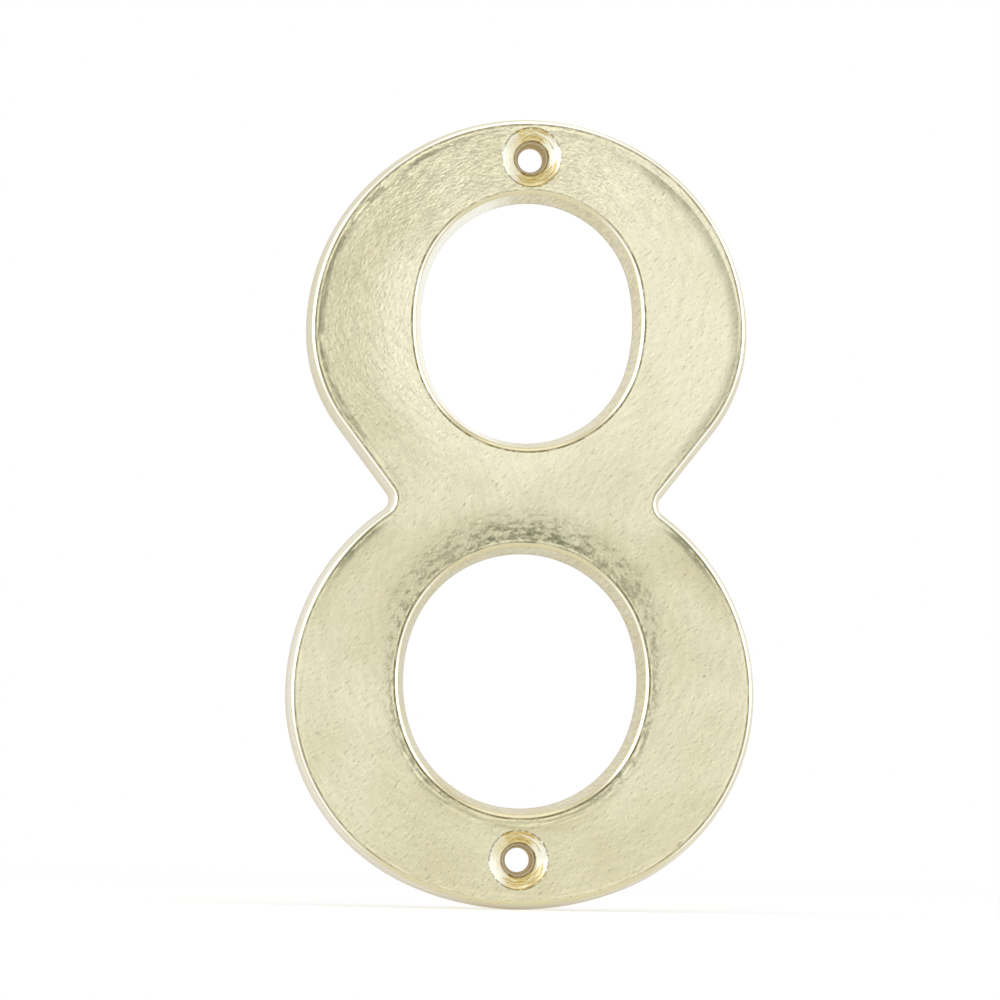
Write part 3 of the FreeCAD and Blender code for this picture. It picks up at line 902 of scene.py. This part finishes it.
        # Painted dark reflection, round the lower counter and along the outside, over the broad tones.
        base = self.mix(self.most(round_counter, along_outside), self.tone(), self.colours.dark_reflection)
        light = self.marks() + self.rubbed(round_counter)
        base, cuts = self.lined(self.scaled(base, self.most(light, DEEPEST_SHADE) + 1))
        roughness = self.smooth(self.breaks, 0.3, 0.7, 0.24, 0.3)
        return self.brass(base, roughness, self.bump((light - cuts) * 0.02), THIN_COAT)


def arris_finish(colours):
    """The bevel round the face: a painted highlight line, softer at the counters' tops and bottoms and at
    the foot.
    """
    finish = Finish("buffed_arris")
    smooth = finish.smooth
    outer, upper, lower = finish.gaps()
    gap = finish.least(outer, upper, lower)
    side, up = finish.maths("ABSOLUTE", finish.carried("out_x")), finish.carried("out_z")
    # Painted highlight: round the outside except where it faces down, and on the counters where it faces
    # sideways.
    bright = finish.between(smooth(outer, 2, 1), smooth(side, 0.55, 0.85), smooth(up, -0.9, -0.6))
    shine = bright * smooth(gap, 0.06, 0.2) * smooth(gap, 0.5, 0.42)
    wear = finish.noise(finish.place, 1.4, 3, 0.6)
    base = finish.mix(shine, colours.soft_arris, colours.bright)
    base = finish.mix(smooth(wear, 0.6, 0.75) * 0.35, base, colours.deep)
    # Painted dark reflection: a line along the arris's inner edge, except where it faces down.
    line = smooth(gap, 0.4, 0.48) * smooth(up, -0.95, -0.55) * 0.6
    base = finish.mix(line, base, colours.edge_line)
    return finish.brass(base, smooth(wear, 0.2, 0.8, 0.16, 0.28), coat=THIN_COAT)


def linished_wall(colours):
    """The walls: the outer one rubbed along its length on a belt, the counters' ones filed across."""
    finish = Finish("linished_wall")
    smooth, x, y, z = finish.smooth, finish.x, finish.y, finish.z
    outer, upper, _ = finish.gaps()
    outside, in_upper = smooth(outer, 4, 3), smooth(upper, 4, 3)
    shining = in_upper * smooth(finish.carried("out_x"), 0, 0.5) * 0.9

    shadow = 0.66 - finish.carried("out_z") * 0.26 - in_upper * 0.3
    counters = finish.mix(shadow, colours.linished, colours.shadowed)
    outer_wall = finish.mix(smooth(z, -2, 12), colours.pale, colours.soft_wall)
    outer_wall = finish.mix(smooth(y, -7.5, -1) * 0.6, outer_wall, colours.gilt)
    base = finish.mix(shining, finish.mix(outside, counters, outer_wall), colours.bright)

    stains = finish.noise(finish.at(x * 1.6 + y * 0.4, z * 1.6, y * 0.2), 1, 3, 0.6)
    stains = smooth(stains, 0.5, 0.68) * (1 - outside * 0.6) * (1 - shining * 0.7) * 0.26
    base = finish.mix(stains, base, colours.burnt)
    belt = finish.relief(y * 6, x * 0.1, z * 0.1, detail=3) * 0.3
    filed = finish.relief((x + z) * 1.7 + y * 0.45, (x - z) * 1.7, y * 0.2, 0.35, 3) * 0.8
    lines = finish.between(outside, filed, belt)
    patches = finish.noise(finish.place, 0.12, 2)
    base = finish.scaled(base, lines * (1 - shining * 0.8) + patches * 0.16 + 0.92)
    back_edge = smooth(y, -1.4, -0.5) * (1 - shining) * (0.4 - outside * 0.15)
    base = finish.mix(back_edge, base, colours.burnt)
    return finish.brass(base, smooth(patches, 0.3, 0.7, 0.3, 0.42), finish.bump(lines * 0.01))


def turned_sink(colours, figure):
    """The countersinks: turned in fine rings, which break up painted highlights on the left and the upper
    right.
    """
    finish = Finish("turned_countersink")
    smooth = finish.smooth
    radius, aside, above = finish.around_hole(figure)
    chatter = finish.noise(finish.place, 2.2, 3, 0.7)
    rings = finish.noise(finish.at(radius * 2.8 + chatter * 0.35, aside * 1.4, above * 1.4), 1, 4, 0.7)
    cut = finish.relief(radius * 4 + chatter * 0.5, aside * 2.6, above * 2.6, detail=3)
    # Painted highlight on the left and the upper right, broken up by the rings.
    glare = finish.most(smooth(aside * -1, 0.3, 0.8), smooth(aside * 0.92 + above * 0.4, 0.4, 1) * 0.62)
    glare = smooth(glare + (rings - 0.5) * 2.4, 0.36, 0.6)
    low = smooth(above, 0.3, -0.7)
    gold = finish.mix(smooth(rings, 0.38, 0.6) * (1 - low * 0.35) + 0.15, colours.turned, colours.polish)
    gold = finish.mix(smooth(rings, 0.46, 0.36) * (low * 0.45 + 0.4), gold, colours.burnt)
    base = finish.mix(glare, finish.scaled(gold, cut * 1.3 + 1), colours.bright)
    rim = smooth(radius, 4.45, 4.7) * smooth(chatter, 0.35, 0.5) * 0.75
    base = finish.mix(rim, base, colours.edge_line)
    return finish.brass(base, 0.26, finish.bump(rings * 0.03 + chatter * 0.01))


def cast_throat(colours, figure):
    """The screw holes below their countersinks, dull from the mould, with a brighter lip."""
    finish = Finish("cast_throat")
    radius, _, _ = finish.around_hole(figure)
    grain = finish.noise(finish.place, 2.2, 4, 0.65)
    base = finish.mix(finish.smooth(grain, 0.35, 0.65), colours.throat, colours.burnt)
    base = finish.mix(finish.smooth(radius, 2.3, 2.5) * 0.9, base, colours.polish)
    return finish.brass(base, 0.5, finish.bump(grain * 0.04))


def ground_back(colours):
    """The flat rim of the back, ground on a belt that ran up and down the figure."""
    finish = Finish("ground_back")
    scores = finish.relief(finish.x * 3.6, finish.z * 0.05, 0, detail=4)
    stain = finish.noise(finish.place, 0.12, 4, 0.6)
    base = finish.mix(finish.smooth(stain, 0.4, 0.65), colours.ground, colours.deep)
    base = finish.mix(finish.smooth(stain, 0.62, 0.8) * 0.3, base, colours.skin)
    base = finish.scaled(base, scores * 0.45 + 1)
    return finish.brass(base, finish.smooth(scores, -0.2, 0.2, 0.34, 0.46), finish.bump(scores * 0.03))


def cast_skin(colours):
    """The hollow of the back, as it came from the sand."""
    finish = Finish("cast_skin")
    sand = finish.noise(finish.place, 2.4, 5, 0.65)
    grains = finish.relief(finish.x * 1.5, finish.z * 1.5, finish.y * 1.5, 0.3, 5)
    blotch = finish.noise(finish.place, 0.14, 3, 0.5)
    base = finish.mix(finish.smooth(blotch * 0.6 + sand * 0.4, 0.2, 0.85), colours.skin, colours.throat)
    base = finish.mix(finish.smooth(sand, 0.6, 0.74) * 0.4, base, colours.ground)
    base = finish.scaled(base, grains * 0.6 + 1)
    return finish.brass(base, finish.smooth(sand, 0.3, 0.7, 0.5, 0.66), finish.bump(sand * 0.14))


class Surface(Nodes):
    """The Geometry Nodes tree that bends the true surfaces a little and gives each zone its finish."""

    def __init__(self, finishes):
        self.group = bpy.data.node_groups.new("cast_and_polished", "GeometryNodeTree")
        super().__init__(self.group)
        self.group.is_modifier = True
        face = self.group.interface
        face.new_socket("Geometry", in_out="OUTPUT", socket_type="NodeSocketGeometry")
        face.new_socket("Geometry", in_out="INPUT", socket_type="NodeSocketGeometry")
        self.sockets = {}
        for name in ("Wave Height", "Wave Length", "Roll Depth", "Roll Width", "Skin Height", "Skin Grain",
                     "Thickness", "Arris"):
            socket = face.new_socket(name, in_out="INPUT", socket_type="NodeSocketFloat")
            socket.subtype = "DISTANCE"
            self.sockets[name] = socket.identifier
        seed = face.new_socket("Seed", in_out="INPUT", socket_type="NodeSocketInt")
        self.sockets["Seed"] = seed.identifier
        entry = self.tree.nodes.new("NodeGroupInput")
        self.value = {socket.name: Wire(self, socket) for socket in entry.outputs if socket.name}
        moved = self.node("GeometryNodeRealizeInstances", {}, {0: self.bent(self.value["Geometry"])})
        for zone, material in finishes.items():
            chosen = self.node("FunctionNodeCompare", {"data_type": "INT", "operation": "EQUAL"},
                               {COMPARED_WHOLE[0]: self.attribute("zone", "INT"), COMPARED_WHOLE[1]: zone})
            moved = self.node("GeometryNodeSetMaterial", {}, {"Geometry": moved, "Selection": chosen,
                                                              "Material": material})
        self.node("NodeGroupOutput", {}, {0: moved})

    def attribute(self, name, kind):
        """A named attribute of the mesh."""
        return self.node("GeometryNodeInputNamedAttribute", {"data_type": kind}, {"Name": name})

    def waves(self, grain, height, shift):
        """Slow noise from 0 to a height, with grains of a size."""
        inputs = {"Vector": self.node("GeometryNodeInputPosition"), "W": self.value["Seed"] + shift,
                  "Scale": 1 / grain, "Detail": 2}
        return self.node("ShaderNodeTexNoise", {"noise_dimensions": "4D"}, inputs) * height

    def bent(self, geometry):
        """The mesh with its face waved and rolled off, and its hollow roughened."""
        place = self.node("GeometryNodeInputPosition")
        deep = self.node("ShaderNodeSeparateXYZ", {}, {0: place}, "Y") + self.value["Thickness"]
        share = self.smooth(deep, self.value["Thickness"] * 0.4, 0)
        gap = self.least(*(self.attribute(name, "FLOAT") for name in GAPS))
        roll = self.smooth(gap - self.value["Arris"], self.value["Roll Width"], 0)
        waves = self.waves(self.value["Wave Length"], self.value["Wave Height"], 0)
        sunk = (roll * self.value["Roll Depth"] + waves) * share
        offset = self.node("ShaderNodeCombineXYZ", {}, {1: sunk})
        geometry = self.node("GeometryNodeSetPosition", {}, {"Geometry": geometry, "Offset": offset})

        grain = self.waves(self.value["Skin Grain"], self.value["Skin Height"], 0.5)
        normal = self.node("GeometryNodeInputNormal")
        height = (grain - self.value["Skin Height"] / 2) * self.attribute("cast", "FLOAT")
        raised = self.node("ShaderNodeVectorMath", {"operation": "SCALE"}, {0: normal, "Scale": height})
        return self.node("GeometryNodeSetPosition", {}, {"Geometry": geometry, "Offset": raised})


class MESH_OT_door_number_casting(bpy.types.Operator):
    """Make the brass casting and dress it in its finishes"""

    bl_idname = "mesh.door_number_casting"
    bl_label = "Casting"

    def execute(self, context):
        """Builds the closed mesh, bends its surfaces and gives it to the frame."""
        settings = context.scene.door_number
        sizes, surface, colours = settings.figure, settings.surface, settings.colours
        figure = Figure(sizes)
        raw = bpy.data.objects.new("casting_blank", casting_mesh(sizes))
        context.scene.collection.objects.link(raw)
        finishes = {
            FACE: PolishedFace(colours, figure).finished(),
            ARRIS: arris_finish(colours),
            WALL: linished_wall(colours),
            SINK: turned_sink(colours, figure),
            THROAT: cast_throat(colours, figure),
            BACK_RIM: ground_back(colours),
            HOLLOW: cast_skin(colours),
        }
        tree = Surface(finishes)
        modifier = raw.modifiers.new("Surface", "NODES")
        modifier.node_group = tree.group
        for name, value in (
            ("Wave Height", surface.wave_height), ("Wave Length", surface.wave_length),
            ("Roll Depth", surface.roll_depth), ("Roll Width", surface.roll_width),
            ("Skin Height", surface.skin_height), ("Skin Grain", surface.skin_grain),
            ("Thickness", sizes.thickness), ("Arris", sizes.arris), ("Seed", surface.seed),
        ):
            modifier[tree.sockets[name]] = value
        evaluated = raw.evaluated_get(context.evaluated_depsgraph_get())
        mesh = bpy.data.meshes.new_from_object(evaluated)
        mesh.name = "brass_number_8"
        raw.modifiers.remove(modifier)
        bpy.data.objects.remove(raw)
        piece = bpy.data.objects.new("brass_number_8", mesh)
        context.scene.collection.objects.link(piece)
        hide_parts(NODE)
        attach(piece, "root")
        return {"FINISHED"}


class SCENE_OT_door_number_stage(bpy.types.Operator):
    """Set the floor, the lamps and the camera"""

    bl_idname = "scene.door_number_stage"
    bl_label = "Stage"

    def execute(self, context):
        """Builds the stage round the casting."""
        stage = context.scene.door_number.stage
        scene = context.scene
        scene.view_settings.view_transform = "Standard"
        self.camera(scene, stage)
        self.world(scene, stage)
        self.floor(scene, stage)
        for name, place, size, strength in LAMPS:
            self.lamp(scene, name, Vector(place), size, strength * stage.lamp)
        return {"FINISHED"}

    def camera(self, scene, stage):
        """The camera, aimed at the middle of the picture."""
        data = bpy.data.cameras.new("camera")
        data.lens = data.sensor_width * stage.distance / stage.view_width
        data.clip_start, data.clip_end = NEAREST, FARTHEST
        camera = bpy.data.objects.new("camera", data)
        scene.collection.objects.link(camera)
        scene.camera = camera
        aim = Vector((-stage.aim_left, CAD_LOW.y, stage.aim_up))
        centre = Vector((0, CAD_LOW.y, 0))
        back = Vector((-math.tan(stage.camera_left), -1, -math.tan(stage.camera_low)))
        camera.location = centre + back * stage.distance
        sight = (aim - camera.location).to_track_quat("-Z", "Y").to_matrix().to_4x4()
        sight = sight @ Matrix.Rotation(stage.roll, 4, "Z")
        camera.rotation_euler = sight.to_euler()

    def world(self, scene, stage):
        """Even light all round, which shows white to the camera and in the metal."""
        world = bpy.data.worlds.new("studio")
        world.use_nodes = True
        scene.world = world
        nodes = Nodes(world.node_tree)
        world.node_tree.nodes.clear()
        path = self.seen(nodes)
        strength = path * (1 - stage.ambient) + stage.ambient
        sky = nodes.node("ShaderNodeBackground", {}, {"Color": (1, 1, 1, 1), "Strength": strength})
        nodes.node("ShaderNodeOutputWorld", {}, {"Surface": sky})

    @staticmethod
    def seen(nodes):
        """1 for what the camera sees, straight, in a mirror or through glass."""
        path = nodes.tree.nodes.new("ShaderNodeLightPath")
        return nodes.most(*(Wire(nodes, path.outputs[name]) for name in
                            ("Is Camera Ray", "Is Glossy Ray", "Is Transmission Ray")))

    def floor(self, scene, stage):
        """A pale floor under the foot of the figure, which keeps its shadow and fades out further away."""
        mesh = bpy.data.meshes.new("floor")
        corners = [(across * FLOOR_REACH, back * FLOOR_REACH, CAD_LOW.z)
                   for across, back in ((-1, -1), (1, -1), (1, 1), (-1, 1))]
        mesh.from_pydata(corners, [], [(0, 1, 2, 3)])
        floor = bpy.data.objects.new("floor", mesh)
        scene.collection.objects.link(floor)
        finish = Finish("pale_floor")
        diffuse = finish.node("ShaderNodeBsdfDiffuse", {}, {"Color": (0.86, 0.86, 0.85, 1)})
        strength = self.seen(finish) * stage.glow
        glow = finish.node("ShaderNodeEmission", {}, {"Color": (1, 1, 1, 1), "Strength": strength})
        both = finish.node("ShaderNodeAddShader", {}, {0: diffuse, 1: glow})
        clear = finish.node("ShaderNodeBsdfTransparent", {}, {"Color": (1, 1, 1, 1)})
        away = finish.maths("SQRT", finish.x * finish.x + finish.y * finish.y)
        solid = finish.smooth(away, stage.floor_end / MM, stage.floor_solid / MM)
        shown = finish.node("ShaderNodeMixShader", {}, {0: solid, 1: clear, 2: both})
        finish.node("ShaderNodeOutputMaterial", {}, {"Surface": shown})
        mesh.materials.append(finish.material)

    def lamp(self, scene, name, place, size, strength):
        """One soft lamp, turned to the figure."""
        data = bpy.data.lights.new(name, "AREA")
        data.shape = "RECTANGLE"
        data.size, data.size_y = size, size * LAMP_TALLER
        data.energy = strength * math.pi * data.size * data.size_y
        lamp = bpy.data.objects.new(name, data)
        lamp.location = place
        lamp.rotation_euler = (-place).to_track_quat("-Z", "Y").to_euler()
        scene.collection.objects.link(lamp)


class DoorNumberSettings(bpy.types.PropertyGroup):
    """Everything that a user can change."""

    figure: PointerProperty(type=FigureSizes, name="Figure", description="The outline and the edges")
    surface: PointerProperty(type=SurfaceSizes, name="Surface", description="Waves, roll-off and cast skin")
    colours: PointerProperty(type=BrassColours, name="Colours", description="The colours of the brass")
    stage: PointerProperty(type=StageSizes, name="Stage", description="Floor, lamps and camera")


class VIEW3D_PT_door_number(bpy.types.Panel):
    """The steps of the door number"""

    bl_label = "Door Number"
    bl_space_type = "VIEW_3D"
    bl_region_type = "UI"
    bl_category = "Door Number"

    def draw(self, context):
        """Lists the operators."""
        for operator in OPERATORS:
            self.layout.operator(operator.bl_idname)


OPERATORS = (MESH_OT_door_number_casting, SCENE_OT_door_number_stage)
CLASSES = (FigureSizes, SurfaceSizes, BrassColours, StageSizes, DoorNumberSettings, *OPERATORS,
           VIEW3D_PT_door_number)


def register():
    """Adds the classes and the settings."""
    for kind in CLASSES:
        bpy.utils.register_class(kind)
    bpy.types.Scene.door_number = PointerProperty(type=DoorNumberSettings, name="Door Number",
                                                  description="Settings of the door number")


def unregister():
    """Takes the settings and the classes away."""
    del bpy.types.Scene.door_number
    for kind in reversed(CLASSES):
        bpy.utils.unregister_class(kind)


def main():
    """Makes the number and its stage."""
    register()
    bpy.ops.mesh.door_number_casting()
    bpy.ops.scene.door_number_stage()


if __name__ == "__main__":
    main()
